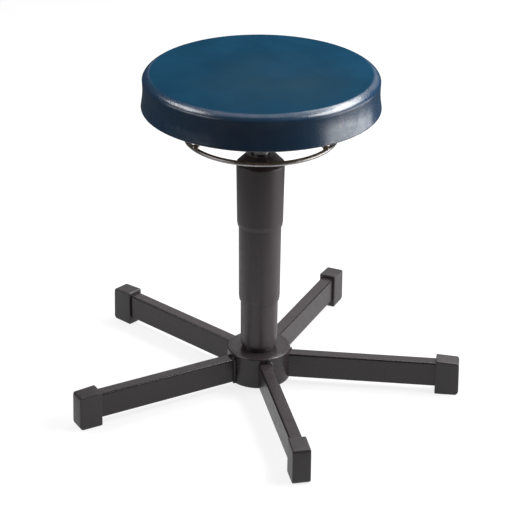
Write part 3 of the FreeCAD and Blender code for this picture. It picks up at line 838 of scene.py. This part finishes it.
@dataclass
class ColumnCover:
    """Three telescoping moulded sleeves, each lip riding on the sleeve inside it.

    A stage is a sleeve's number in the list of them, from the lowest one, 0, to the top one, 2.
    """

    sleeves: tuple[str, str, str] = ("lower_sleeve", "middle_sleeve", "upper_sleeve")
    foot_radius: float = 28.3 * MM
    step: float = 3.3 * MM
    wall: float = 1.5 * MM
    draft: float = 0.006
    upper_draft: float = 0.0148
    slide: float = 0.35 * MM
    nose: float = 7.0 * MM
    nose_taper: float = 0.8 * MM
    nose_round: float = 4.0 * MM
    lip: float = 3.0 * MM
    flange: float = 2.0 * MM
    shoulder_round: float = 2.5 * MM
    top_radius: float = 21.4 * MM
    neck_wall: float = 2.0 * MM
    neck_length: float = 10.0 * MM
    toe: float = 8.0 * MM
    toe_taper: float = 3.0 * MM
    around: int = 160

    def outside(self, stage: int, height: float) -> float:
        """Outer radius of a stage at a height: that of its foot, and the draft times the height over it.

        Args:
            stage: The sleeve's number.
            height: Where it is measured.

        Returns:
            The radius.
        """
        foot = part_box(self.sleeves[stage])[0].z
        draft = self.upper_draft if stage == 2 else self.draft
        return self.foot_radius + stage * self.step + draft * (height - foot)

    def mouth(self, stage: int) -> float:
        """Radius inside a stage's lip: that of the stage within, where it ends, and the sliding gap."""
        return self.outside(stage - 1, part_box(self.sleeves[stage - 1])[1].z) + self.slide

    def foot_corners(self, stage: int) -> tuple[Corners, Corners]:
        """Corners of a stage's foot, each a (radius, height, rounding).

        Args:
            stage: The sleeve's number.

        Returns:
            Those of the nose outside, going up, and those of the lip inside, going down.
        """
        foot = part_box(self.sleeves[stage])[0].z
        nose = foot + self.nose
        outer = [
            [self.mouth(stage), foot, BROKEN],
            [self.outside(stage, foot) - self.nose_taper, foot, EASED],
            [self.outside(stage, nose), nose, self.nose_round],
        ]
        inner = [
            [self.outside(stage, nose) - self.wall, nose, 1.0 * MM],
            [self.mouth(stage), foot + self.lip, BROKEN],
        ]
        return outer, inner

    def flange_corners(self, stage: int) -> Corners:
        """Corners of a stage's top, each a (radius, height, rounding).

        Args:
            stage: The sleeve's number.

        Returns:
            Those round the flange, from under it to the wall's inner edge.
        """
        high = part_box(self.sleeves[stage])[1]
        under = high.z - self.flange
        return [
            [self.outside(stage, under), under, BROKEN],
            [high.x, under, KEEN],
            [high.x, high.z, BROKEN],
            [self.outside(stage, high.z) - self.wall, high.z, BROKEN],
        ]

    def build(self, wardrobe: Wardrobe) -> None:
        """Turns the three outlines.

        Args:
            wardrobe: What dresses the pieces.
        """
        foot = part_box(self.sleeves[0])[0].z
        toe = foot + self.toe
        tip, start = self.outside(0, foot) - self.toe_taper, self.outside(0, toe)
        lower = [
            [tip - self.wall, foot, KEEN],
            [tip, foot, SOFT],
            [start, toe, 5.0 * MM],
            *self.flange_corners(0),
            [start - self.wall, toe, 3.0 * MM],
        ]
        outer, inner = self.foot_corners(1)
        middle = outer + self.flange_corners(1) + inner
        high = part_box(self.sleeves[2])[1]
        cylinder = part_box("gas_cylinder")[1].x
        collar, neck = cylinder + self.neck_wall, high.z - self.neck_length
        shoulder = high.z - (high.x - self.top_radius)
        mitre = self.wall * math.tan(math.radians(22.5))
        ceiling = high.z - self.wall
        outer, inner = self.foot_corners(2)
        upper = [
            *outer,
            [high.x, shoulder, self.shoulder_round],
            [self.top_radius, high.z, 1.5 * MM],
            [cylinder, high.z, SOFT],
            [cylinder, neck, BROKEN],
            [collar, neck, BROKEN],
            [collar, ceiling, BROKEN],
            [self.top_radius - mitre, ceiling, 0.8 * MM],
            [high.x - self.wall, shoulder - mitre, 1.5 * MM],
            *inner,
        ]
        names = ("lower_cover", "middle_cover", "upper_cover")
        bodies = (Body.BASE, Body.MIDDLE_COVER, Body.SEAT)
        for name, corners, body, node in zip(names, (lower, middle, upper), bodies, self.sleeves):
            wardrobe.turn(name, corners, self.around, body, Slot.COVER_PLASTIC, node)


@dataclass
class StarBase:
    """Hub drum, five level rectangular legs, their weld beads and their foot blocks."""

    count: int = 5
    first_angle: float = -6.3
    reach: float = 313.0 * MM
    leg_width: float = 20.0 * MM
    leg_wall: float = 2.0 * MM
    leg_corner: float = 2.5 * MM
    # Painted shade along the legs' upper corners: its reach, as a share of the corner's rounding, and its
    # strength.
    painted_shade_reach: float = 0.85
    painted_shade_gain: float = 1.25
    cap_length: float = 37.0 * MM
    cap_width: float = 27.5 * MM
    cap_edge: float = 1.8 * MM
    cap_corner: float = 2.2 * MM
    cap_fall: float = 2.4 * MM
    cap_brow: float = 2.4 * MM
    cap_toe: float = 4.0 * MM
    cap_end_wall: float = 4.0 * MM
    cap_gap: float = 0.25 * MM
    cap_lean: float = 1.4 * MM
    bead: float = 2.7 * MM
    bead_pitch: float = 2.4 * MM
    bead_off: float = 0.7 * MM
    bead_out: float = 0.6 * MM
    bead_least: float = 0.90
    bead_swell: float = 0.16
    rim_round: float = 2.2 * MM
    lid_gap: float = 0.05 * MM

    def leg_section(self, inset: float) -> np.ndarray:
        """Rounded rectangle of the leg.

        Args:
            inset: How far it is drawn in.

        Returns:
            Array of points (sideways, up), (count, 2).
        """
        low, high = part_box("leg_1")
        half = self.leg_width / 2 - inset
        corner = max(self.leg_corner - inset, EASED)
        return rounded(oblong(-half, half, low.z + inset, high.z - inset, [corner] * 4))

    def station(self, section: np.ndarray, along: np.ndarray | float) -> np.ndarray:
        """Section's points placed at a distance from the axis, in the leg's own direction."""
        return np.concatenate([np.broadcast_to(along, (len(section),))[:, None], section], 1)

    def on_hub(self, section: np.ndarray, out: float = 0.0) -> np.ndarray:
        """Section's points on the hub's face, at sqrt(R^2 - y^2) from the axis, or further out."""
        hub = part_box("hub_tube")[1].x
        return self.station(section, np.sqrt(hub ** 2 - section[:, 0] ** 2) + out)

    def leg_grid(self) -> tuple[np.ndarray, np.ndarray]:
        """Points of a hollow leg and how much painted shade each one takes.

        The outer section runs from the hub's face to inside the foot block, and the inner section runs
        back. The painted shade peaks halfway round the upper corners, a dark line between top and side.

        Returns:
            Grid of points, (4, columns, 3), and the shares of painted shade, (4, columns).
        """
        outer, inner = self.leg_section(0.0), self.leg_section(self.leg_wall)
        end = self.reach - self.cap_end_wall - 2 * self.cap_gap
        rows = [self.on_hub(outer), self.station(outer, end), self.station(inner, end), self.on_hub(inner)]
        # Painted shade: darkest halfway round each upper corner, fading towards the flat faces.
        fall = self.leg_corner * (1 - math.sqrt(0.5))
        crest = np.array([self.leg_width / 2 - fall, outer[:, 1].max() - fall])
        apart = np.linalg.norm(np.abs(outer) - crest, axis=1)
        painted_shade = np.clip(self.painted_shade_gain * (1 - apart / (self.painted_shade_reach * self.leg_corner)), 0, 1)
        return np.stack(rows), np.stack([painted_shade, painted_shade, 0 * painted_shade, 0 * painted_shade])

    def weld_grid(self) -> np.ndarray:
        """Points of a rippled bead up one side of the leg, over its top and down the other.

        The path follows the leg's section on the hub's face, and the bead's radius swells and shrinks
        as the absolute sine of the run, once for each pitch. Both ends are quarter circles.

        Returns:
            Grid of points.
        """
        section = self.leg_section(-self.bead_off)
        route = np.roll(section, -len(section) // 4, 0)[: len(section) // 2]
        side, floor = route[0, 0], section[:, 1].min()
        route = refine(np.concatenate([[[side, floor]], route, [[-side, floor]]]), 0.4 * MM)
        path = self.on_hub(route, self.bead_out)
        run = np.concatenate([[0], np.cumsum(np.linalg.norm(np.diff(path, axis=0), axis=1))])
        ripple = self.bead_least + self.bead_swell * np.abs(np.sin(math.pi * run / self.bead_pitch))
        short = (1 - np.minimum(run, run[-1] - run) / self.bead).clip(0)
        ends = np.sqrt(np.clip(1 - short ** 2, 0, 1))
        return carried(path, self.bead * ripple * ends, (1.0, 0.0, 0.0), 14, closed=False)

    def cap_grid(self) -> np.ndarray:
        """Points of a foot block, as rounded rectangles carried along the leg's direction.

        A section's floor is 0 and rises at 45 degrees over the toe, and its ceiling falls evenly
        outwards and at 45 degrees over the brow. At both ends the section is drawn in along a
        quarter circle. The rows start in the socket that holds the leg.

        Returns:
            Grid of points.
        """
        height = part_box("foot_cap_1")[1].z
        start, end = self.reach - self.cap_length, self.reach
        leg = self.leg_section(-self.cap_gap)
        middle = leg.mean(0)[None]
        turn = np.linspace(0, math.pi / 2, 6)
        inset, depth = self.cap_edge * (1 - np.sin(turn)), self.cap_edge * (1 - np.cos(turn))
        bends = end - np.array([self.cap_toe, self.cap_brow])
        waist = [bends - ARC_HOLD, bends + ARC_HOLD, [start + 0.4 * self.cap_length]]
        waist = np.sort(np.concatenate(waist))
        along = np.concatenate([start + depth, waist, (end - depth)[::-1]])
        drawn = np.concatenate([inset, 0 * waist, inset[::-1]])
        rows = [
            np.broadcast_to(self.station(middle, end - self.cap_end_wall), (len(leg), 3)),
            self.station(leg, end - self.cap_end_wall),
            self.station(leg, start + BROKEN),
            self.station(self.leg_section(-self.cap_gap - BROKEN), start),
        ]
        for place, pull in zip(along, drawn):
            floor = max(0.0, place - (end - self.cap_toe)) + pull
            ceiling = height - self.cap_fall * (place - start) / self.cap_length
            ceiling -= max(0.0, place - (end - self.cap_brow)) + pull
            half = self.cap_width / 2 - pull
            section = rounded(oblong(-half, half, floor, ceiling, [self.cap_corner] * 4))
            rows.append(self.station(section, place))
        rows.append(np.broadcast_to(self.station(middle, end), (len(leg), 3)))
        grid = np.stack(rows)
        share = np.clip((grid[..., 0] - start) / self.cap_length, 0, 1) * grid[..., 2] / height
        share[:4] = 0
        return grid - np.array([1, 0, 0]) * self.cap_lean * share[..., None]

    def build(self, wardrobe: Wardrobe) -> None:
        """Builds the hub and every leg with its block, and all the beads as one piece.

        Args:
            wardrobe: What dresses the pieces.
        """
        low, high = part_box("hub_tube")
        ring_low, ring_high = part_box("hub_top_ring")
        inner, bore = ring_high.x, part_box("stand_tube")[1].x + 0.3 * MM
        drum = oblong(inner, high.x, low.z, high.z, [SOFT, 1.5 * MM, self.rim_round, KEEN])
        wardrobe.turn("hub_drum", drum, 192, Body.BASE, Slot.BASE_PAINT, "hub_tube")
        lid = oblong(bore, inner - self.lid_gap, ring_low.z, ring_high.z, [BROKEN, BROKEN, EASED, BROKEN])
        wardrobe.turn("hub_lid", lid, 192, Body.BASE, Slot.BASE_PAINT, "hub_top_ring")
        # dark holds each point's painted shade along the legs' upper corners.
        leg, dark = self.leg_grid()
        cap, bead = self.cap_grid(), self.weld_grid()
        angles = bearings(self.first_angle, self.count)
        for number, angle in enumerate(angles, 1):
            piece = skin(f"tube_leg_{number}", [swung(leg, angle)], loop=True, painted_shade=dark)
            wardrobe.dress(piece, Body.BASE, Slot.BASE_PAINT, f"leg_{number}")
            block = [swung(cap, angle)]
            wardrobe.make(f"foot_block_{number}", block, Body.BASE, Slot.FOOT_PLASTIC, f"foot_cap_{number}")
        wardrobe.make("weld_beads", ringed(bead, angles), Body.BASE, Slot.BASE_PAINT, "leg_welds")


@dataclass
class SeatMounting:
    """What joins the seat to the column: gas cylinder, taper socket, plate, screws and washers."""

    screw_circle: float = 77.5 * MM
    screw_count: int = 4
    first_angle: float = 45.0
    head: float = 5.5 * MM
    head_height: float = 4.0 * MM
    key: float = 2.3 * MM
    washer: float = 9.0 * MM
    washer_hole: float = 3.4 * MM
    plate_hole: float = 40.0 * MM
    button_hole: float = 7.0 * MM
    crown_wall: float = 3.0 * MM
    tube_wall: float = 1.5 * MM
    taper: float = 0.025

    def screw_grid(self, level: float) -> np.ndarray:
        """Head of a socket screw seen from below.

        Rows go from the shank's edge down the head, over its rounded edge and into the key socket.
        There the radius at the angle a is key / cos(a mod 60 - 30 degrees), which draws a hexagon,
        times a share for each depth.

        Args:
            level: Height of the head's top.

        Returns:
            Grid of points.
        """
        around = 72
        angle = circle(around)
        face = level - self.head_height
        head = rounded([
            [0.0, level, 0.0],
            [self.head, level, KEEN],
            [self.head, face, 0.9 * MM],
            [self.key + 1.2 * MM, face, 0.0],
        ], closed=False)
        share, depth = np.array([[1.12, 1.0, 1.0, 0.0], [0.0, 0.3 * MM, 2.2 * MM, 2.6 * MM]])[..., None]
        radius = share * self.key / np.cos(np.mod(angle, math.pi / 3) - math.pi / 6)
        height = np.broadcast_to(face + depth, radius.shape)
        socket = np.stack([radius * np.cos(angle), radius * np.sin(angle), height], -1)
        return np.concatenate([turned(head, around), socket]) + np.array([self.screw_circle, 0, 0])

    def build(self, wardrobe: Wardrobe) -> None:
        """Turns the round pieces and sets the screws and washers in a ring.

        Args:
            wardrobe: What dresses the pieces.
        """
        angles = bearings(self.first_angle, self.screw_count)
        low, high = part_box("seat_plate")
        plate = oblong(self.plate_hole, high.x, low.z, high.z, [0.8 * MM, 0.9 * MM, EASED, EASED])
        wardrobe.turn("mounting_plate", plate, 160, Body.SEAT, Slot.PAN_PAINT, "seat_plate")
        low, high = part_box("screw_washers")
        ring = oblong(self.washer_hole, self.washer, low.z, high.z, [BROKEN, EASED, KEEN, KEEN])
        rings = ringed(turned(rounded(ring), 64) + np.array([self.screw_circle, 0, 0]), angles)
        wardrobe.make("flat_washers", rings, Body.SEAT, Slot.ZINC_PLATE, "screw_washers", loop=True)
        heads = ringed(self.screw_grid(low.z), angles)
        wardrobe.make("socket_screws", heads, Body.SEAT, Slot.ZINC_PLATE, "seat_screws")
        low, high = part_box("taper_socket")
        foot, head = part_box("gas_cylinder")
        radius = head.x
        tip = radius - self.taper * (head.z - low.z)
        socket = [
            [radius, low.z, SOFT],
            [high.x, low.z, 1.6 * MM],
            [high.x, high.z, 1.4 * MM],
            [tip + 0.1 * MM, high.z, BROKEN],
        ]
        wardrobe.turn("taper_sleeve", socket, 96, Body.SEAT, Slot.PAN_PAINT, "taper_socket")
        bore, crown, floor = radius - self.tube_wall, tip - self.crown_wall, foot.z + 2.0 * MM
        tube = [
            [self.button_hole, foot.z, BROKEN],
            [radius, foot.z, 1.2 * MM],
            [radius, low.z, EASED],
            [tip, head.z, 1.0 * MM],
            [crown, head.z, BROKEN],
            [crown, low.z, EASED],
            [bore, low.z - 2.0 * MM, EASED],
            [bore, floor, BROKEN],
            [self.button_hole, floor, BROKEN],
        ]
        wardrobe.turn("lift_cylinder", tube, 96, Body.SEAT, Slot.POLISHED_STEEL, "gas_cylinder")


@dataclass
class ReleaseRing:
    """Ring under the seat that is lifted on any side, its three cranked spokes, boss and valve button."""

    spoke_count: int = 3
    first_angle: float = 90.0
    knee: float = 68.0 * MM
    bend: float = 12.0 * MM
    root: float = 9.0 * MM
    blob: float = 5.0 * MM
    blob_shape: tuple[float, float, float] = (0.95, 1.15, 0.92)
    blob_lumps: float = 0.05
    blob_in: float = 1.5 * MM
    blob_up: float = 1.2 * MM
    seam_swell: float = 0.10
    seam_angle: float = 200.0
    seam_length: float = 2.5 * MM
    button_dome: float = 1.2 * MM

    def ring(self) -> tuple[float, float, float]:
        """Sizes of the frame's ring.

        Returns:
            Its wire's radius, its own radius and its height.
        """
        low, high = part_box("release_hoop")
        wire = (high.z - low.z) / 2
        return wire, high.x - wire, (low.z + high.z) / 2

    def ring_grid(self) -> np.ndarray:
        """Points of the ring: a circle, thicker where the bar's ends are welded together.

        The wire's radius takes the swell times exp(-s^2) there, with the run s in seam lengths.

        Returns:
            Grid of points.
        """
        wire, radius, level = self.ring()
        angle = circle(360)
        outwards = np.stack([np.cos(angle), np.sin(angle), 0 * angle], -1)
        path = radius * outwards + np.array([0, 0, level])
        seam = radius * (angle - math.radians(self.seam_angle)) / self.seam_length
        return carried(path, wire * (1 + self.seam_swell * np.exp(-seam ** 2)), outwards, 28, closed=True)

    def spoke_grid(self) -> np.ndarray:
        """Points of a spoke along X: level from the boss, then bent down to the ring, with closed ends.

        Returns:
            Grid of points.
        """
        ring_radius, ring_level = self.ring()[1:]
        low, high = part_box("hoop_spoke_1")
        wire = (high.x - low.x) / 2
        level = high.z - wire
        route = [[self.root, level, 0.0], [self.knee, level, self.bend], [ring_radius, ring_level, 0.0]]
        route = refine(rounded(route, closed=False, steps=14), 3.0 * MM)
        route = np.concatenate([route[:1], route, route[-1:]])
        path = np.stack([route[:, 0], 0 * route[:, 0], route[:, 1]], -1)
        nudge = np.linspace(-1, 1, len(path))[:, None] * 1e-6
        path = path + nudge * unit(path[-2] - path[1])
        radius = np.full(len(path), wire)
        radius[[0, -1]] = 0.0
        return carried(path, radius, (0.0, 1.0, 0.0), 24, closed=False)

    def blob_grid(self) -> np.ndarray:
        """Points of the weld where a spoke meets the ring.

        It is a flattened ball whose radius takes a few per cent from sines of both its angles.

        Returns:
            Grid of points.
        """
        _, radius, level = self.ring()
        polar = np.linspace(0, math.pi, 20)[:, None]
        angle = circle(28)[None, :]
        along, across, up = self.blob_shape
        lump = self.blob * (1 + self.blob_lumps * np.sin(5 * angle) * np.sin(3 * polar) * np.sin(polar))
        grid = np.stack([
            along * lump * np.sin(polar) * np.cos(angle),
            across * lump * np.sin(polar) * np.sin(angle),
            up * lump * np.cos(polar) * np.ones_like(angle),
        ], -1)
        return grid + np.array([radius - self.blob_in, 0, level + self.blob_up])

    def build(self, wardrobe: Wardrobe) -> None:
        """Builds the ring, the spokes with their welds, the boss and the button.

        Args:
            wardrobe: What dresses the pieces.
        """
        angles = bearings(self.first_angle, self.spoke_count)
        wardrobe.make("grip_ring", [self.ring_grid()], Body.HOOP, Slot.HOOP_ZINC, "release_hoop", loop=True)
        for number, spoke in enumerate(ringed(self.spoke_grid(), angles), 1):
            wardrobe.make(f"ring_spoke_{number}", [spoke], Body.HOOP, Slot.HOOP_ZINC, f"hoop_spoke_{number}")
        wardrobe.make("spoke_welds", ringed(self.blob_grid(), angles), Body.HOOP, Slot.HOOP_ZINC)
        low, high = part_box("press_boss")
        edges = oblong(0.0, high.x, low.z, high.z, [0.0, 1.2 * MM, 1.2 * MM, 0.0])
        boss = turned(rounded(edges, closed=False), 96)
        wardrobe.make("lever_boss", [boss], Body.HOOP, Slot.HOOP_ZINC, "press_boss")
        low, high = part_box("release_button")
        radius = np.linspace(0, high.x, 12)
        dome = np.stack([radius, high.z - self.button_dome * (radius / high.x) ** 2], -1)
        stem = np.array([[high.x, low.z + SOFT], [high.x - SOFT, low.z], [0.0, low.z]])
        button = turned(np.concatenate([dome, stem]), 48)
        wardrobe.make("valve_button", [button], Body.BUTTON, Slot.BARE_STEEL, "release_button")


@dataclass(frozen=True)
class Lamp:
    """A soft rectangular white light, aimed at the stool.

    Attributes:
        name: Its name.
        azimuth: Where it stands, in degrees from +X towards +Y.
        elevation: Its height over the horizon, in degrees.
        distance: How far it is from what it is aimed at.
        size: Its width and height.
        power: Its power in watts.
    """

    name: str
    azimuth: float
    elevation: float
    distance: float
    size: tuple[float, float]
    power: float


def looking(place: Vector, way: Vector) -> Matrix:
    """Where a lamp or camera stands and how it is turned, to look along a direction with its top up."""
    return Matrix.Translation(place) @ way.to_track_quat("-Z", "Y").to_matrix().to_4x4()


@dataclass
class Studio:
    """Pale floor, plain soft lamps and the camera at the pictured angle.

    The floor has one tint and glow of its own for the camera, and two for all other rays: those of the
    sheet, under the stool, and those of the far floor.
    """

    eye: tuple[float, float, float] = (0.0, -2.6866, 1.5181)
    aim: tuple[float, float, float] = (-0.0056, 0.0, 0.2138)
    roll: float = 0.522
    lens: float = 137.74
    sensor: float = 36.0
    lamp_aim: tuple[float, float, float] = (0.0, 0.0, 0.35)
    floor_half: float = 9.0
    shade_tint: float = 0.25
    floor_glow: float = 0.82
    sheet_tint: float = 0.15
    far_tint: float = 0.02
    sheet_radius: float = 0.45
    sheet_fade: float = 0.45
    sheet_glow: float = 0.58
    far_glow: float = 0.07
    sky: float = 0.05
    sky_mirrored: float = 0.07
    lamps: tuple[Lamp, ...] = (
        Lamp("overhead", 90.0, 76.0, 2.2, (2.0, 2.0), 9.0),
        Lamp("right_key", 4.0, 45.0, 2.0, (1.4, 0.9), 42.0),
        Lamp("right_back", 50.0, 50.0, 2.0, (1.2, 0.6), 18.0),
        Lamp("right_wall", -6.0, 8.0, 2.0, (1.8, 0.8), 7.5),
        Lamp("right_foot", 0.0, -9.0, 1.35, (1.5, 0.3), 5.5),
        Lamp("left_key", 175.0, 49.0, 2.0, (1.0, 0.6), 12.0),
        Lamp("left_wall", 202.0, 16.0, 2.0, (1.8, 1.0), 6.0),
        Lamp("back_panel", 80.0, 22.0, 2.0, (2.2, 0.8), 4.0),
    )

    def build(self) -> None:
        """Builds the floor, the sky, the lamps and the camera."""
        self.lay_floor()
        self.light_sky()
        for lamp in self.lamps:
            self.hang(lamp)
        self.stand_camera()

    def lay_floor(self) -> None:
        """Level floor: a pale sheet to the light, and plain white with a faint shadow to the eye.

        Rays from the camera see a strong glow over a dark tint. Mirrored and bent rays see a glow that
        falls from its near to its far value over the fade round the stool.
        """
        half = self.floor_half
        corners = [(-half, -half, 0), (half, -half, 0), (half, half, 0), (-half, half, 0)]
        mesh = bpy.data.meshes.new("studio_floor")
        mesh.from_pydata(corners, [], [(0, 1, 2, 3)])
        material = bpy.data.materials.new("studio_floor")
        graph = Graph(material)
        path = graph.add("LightPath").outputs
        away = graph.add("VectorMath", {0: graph.place}, operation="LENGTH").outputs["Value"]
        sheet = graph.ranged(away, self.sheet_radius, self.sheet_radius + self.sheet_fade, 1.0, 0.0)
        spread = graph.blended(sheet, grey(self.far_tint), grey(self.sheet_tint))
        glow = graph.ranged(sheet, 0.0, 1.0, self.far_glow, self.sheet_glow)
        held = graph.worked("MULTIPLY", graph.mirrored(path), glow)
        seen = graph.worked("MULTIPLY", path["Is Camera Ray"], self.floor_glow)
        graph.feed(graph.shader, {
            "Roughness": 0.9,
            "Specular IOR Level": 0.0,
            "Base Color": graph.blended(path["Is Camera Ray"], spread, grey(self.shade_tint)),
            "Emission Color": grey(1.0),
            "Emission Strength": graph.worked("MAXIMUM", seen, held),
        })
        mesh.materials.append(material)
        floor = bpy.data.objects.new("studio_floor", mesh)
        bpy.context.scene.collection.objects.link(floor)

    def light_sky(self) -> None:
        """White sky for the camera, a grey one for mirrored and bent rays, and a dim one for plain light."""
        world = bpy.data.worlds.new("studio_sky")
        graph = Graph(world, "Background")
        path = graph.add("LightPath").outputs
        held = graph.worked("MULTIPLY", graph.mirrored(path), self.sky_mirrored)
        strength = graph.worked("MAXIMUM", path["Is Camera Ray"], graph.worked("MAXIMUM", held, self.sky))
        graph.feed(graph.shader, {"Color": grey(1.0), "Strength": strength})
        bpy.context.scene.world = world

    def hang(self, lamp: Lamp) -> None:
        """Places a lamp on its bearing round the seat and turns it to face the stool.

        Args:
            lamp: The lamp.
        """
        bearing, climb = math.radians(lamp.azimuth), math.radians(lamp.elevation)
        level = math.cos(climb)
        way = Vector((math.cos(bearing) * level, math.sin(bearing) * level, math.sin(climb)))
        light = bpy.data.lights.new(lamp.name, "AREA")
        light.shape = "RECTANGLE"
        light.size, light.size_y = lamp.size
        light.energy = lamp.power
        stand = bpy.data.objects.new(lamp.name, light)
        stand.matrix_world = looking(Vector(self.lamp_aim) + way * lamp.distance, -way)
        stand.visible_camera = False
        bpy.context.scene.collection.objects.link(stand)
        LOG.info("lamp %s gives %.0f W", lamp.name, lamp.power)

    def stand_camera(self) -> None:
        """Camera on a plain stand, turned about its own view by the small roll of the picture."""
        camera = bpy.data.cameras.new("camera")
        camera.lens = self.lens
        camera.sensor_width = self.sensor
        stand = bpy.data.objects.new("camera", camera)
        eye, aim = Vector(self.eye), Vector(self.aim)
        stand.matrix_world = looking(eye, aim - eye) @ Matrix.Rotation(math.radians(self.roll), 4, "Z")
        bpy.context.scene.collection.objects.link(stand)
        bpy.context.scene.camera = stand


def main() -> None:
    """Builds the studio, then every sub-assembly, and reports each piece."""
    logging.basicConfig(level=logging.INFO, format="%(name)s: %(message)s")
    bpy.context.scene.view_settings.view_transform = "Standard"
    Studio().build()
    wardrobe = Wardrobe()
    wardrobe.dress_frame()
    for assembly in (SeatCushion(), ColumnCover(), StarBase(), SeatMounting(), ReleaseRing()):
        assembly.build(wardrobe)


if __name__ == "__main__":
    main()
